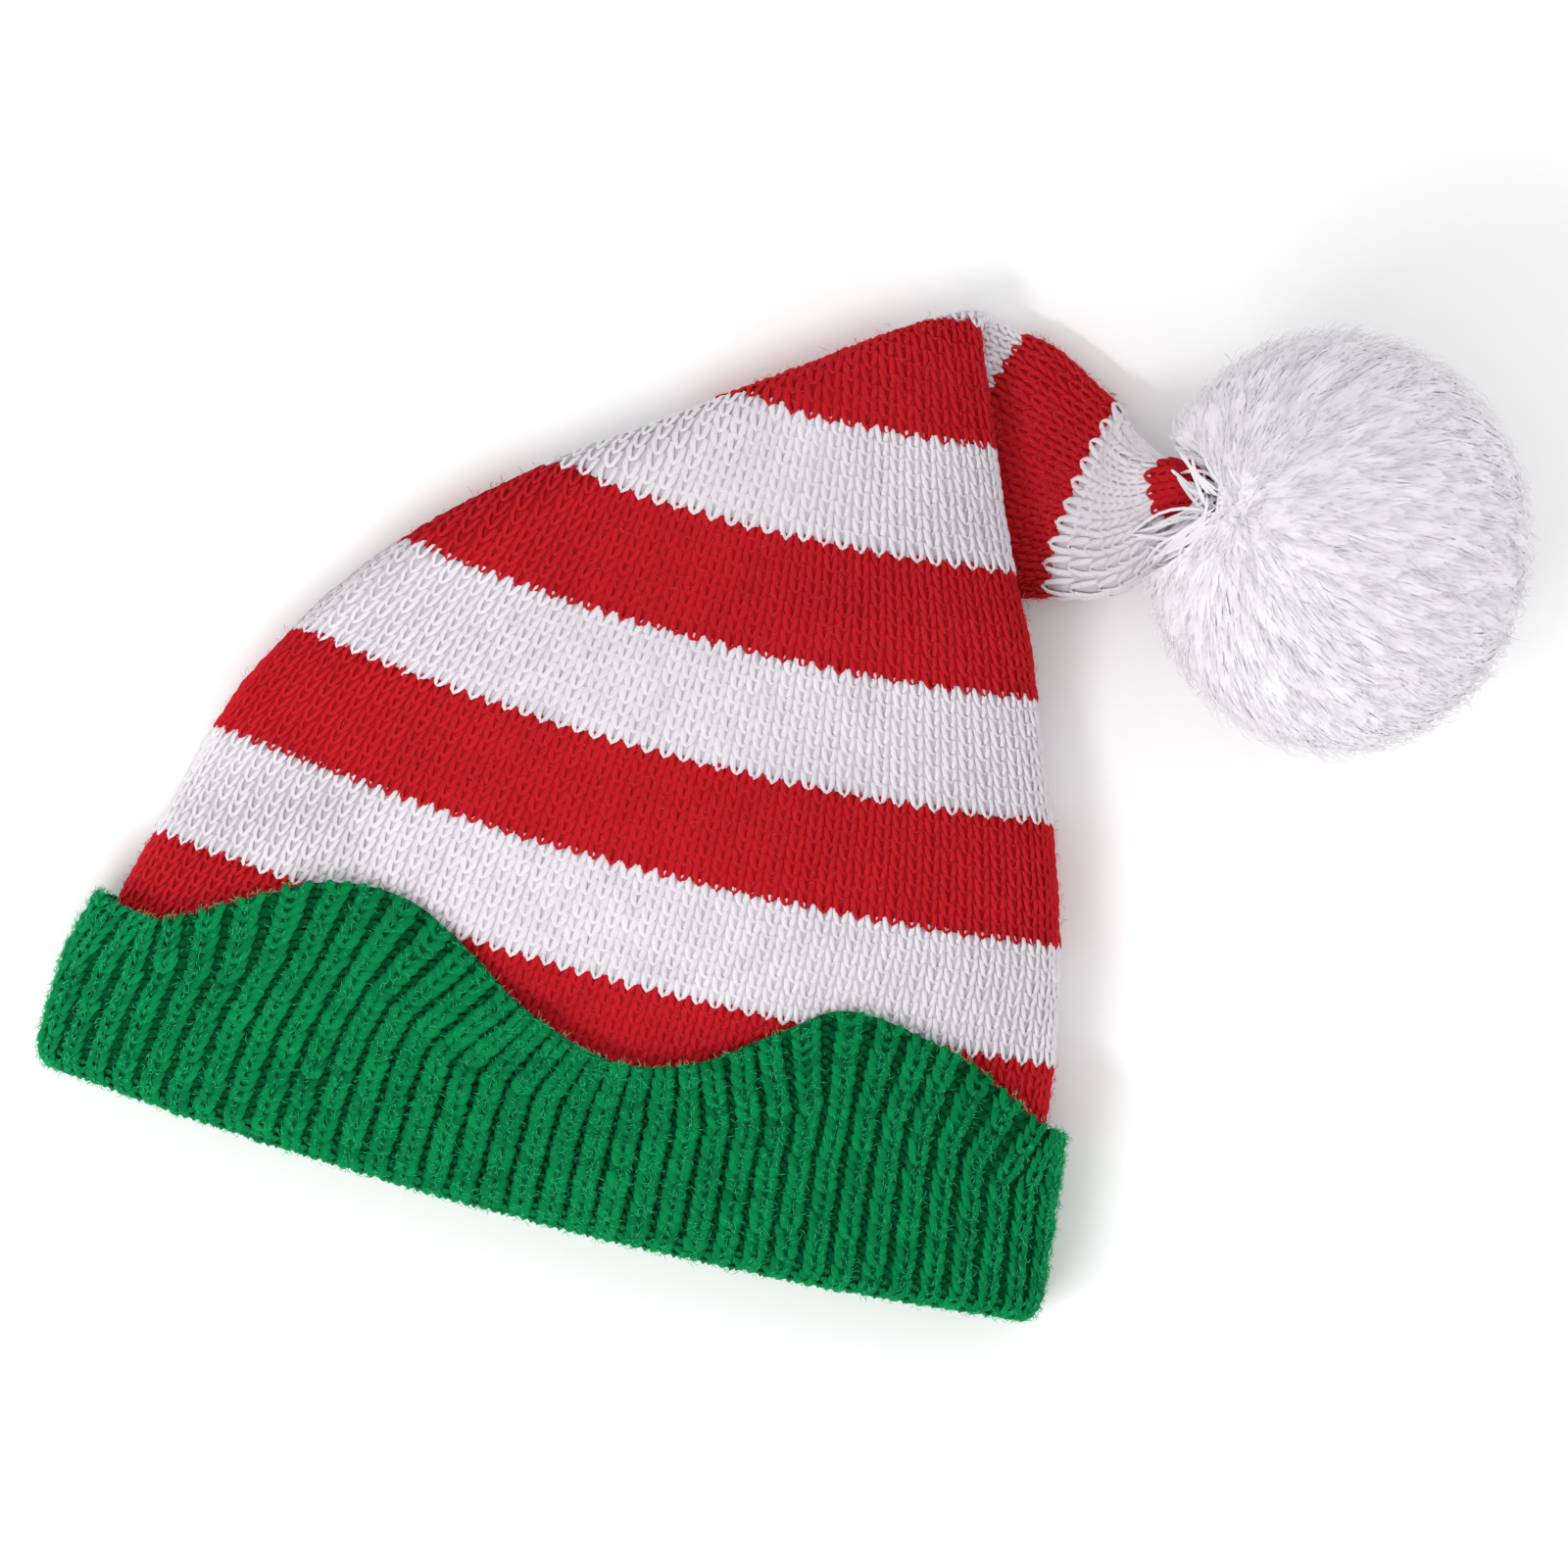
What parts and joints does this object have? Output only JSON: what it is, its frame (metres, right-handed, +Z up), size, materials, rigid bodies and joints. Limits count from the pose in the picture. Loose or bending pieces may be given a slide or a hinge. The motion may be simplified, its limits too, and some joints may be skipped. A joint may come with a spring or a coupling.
{
  "type": "knitted santa hat",
  "caption": "Knitted santa hat lying flat: a red and white striped cone with a turned-up green ribbed cuff, wavy at its edge, whose tip hangs over behind and ends in a white yarn pompom.",
  "frame": {"origin": "on the table, under the flat middle of the crown's underside", "axes": "+X across the mouth towards the pompom, +Y from the mouth towards the tip, +Z up from the table"},
  "size_m": [0.2972, 0.2403, 0.0835],
  "materials": {
    "green_yarn": "matte ribbed knitting, a little fuzzy",
    "red_yarn": "matte plain knitting",
    "white_yarn": "matte plain knitting",
    "pompom_yarn": "soft cut yarn"
  },
  "bodies": {
    "root": {"cuff": "green_yarn", "stripe_red_1": "red_yarn", "stripe_white_1": "white_yarn", "stripe_red_2": "red_yarn", "stripe_white_2": "white_yarn", "stripe_red_3": "red_yarn", "stripe_white_3": "white_yarn", "stripe_red_4": "red_yarn", "stripe_white_4": "white_yarn", "stripe_red_5": "red_yarn", "stripe_white_5": "white_yarn", "stripe_red_6": "red_yarn", "pompom": "pompom_yarn"}
  },
  "joints": []
}
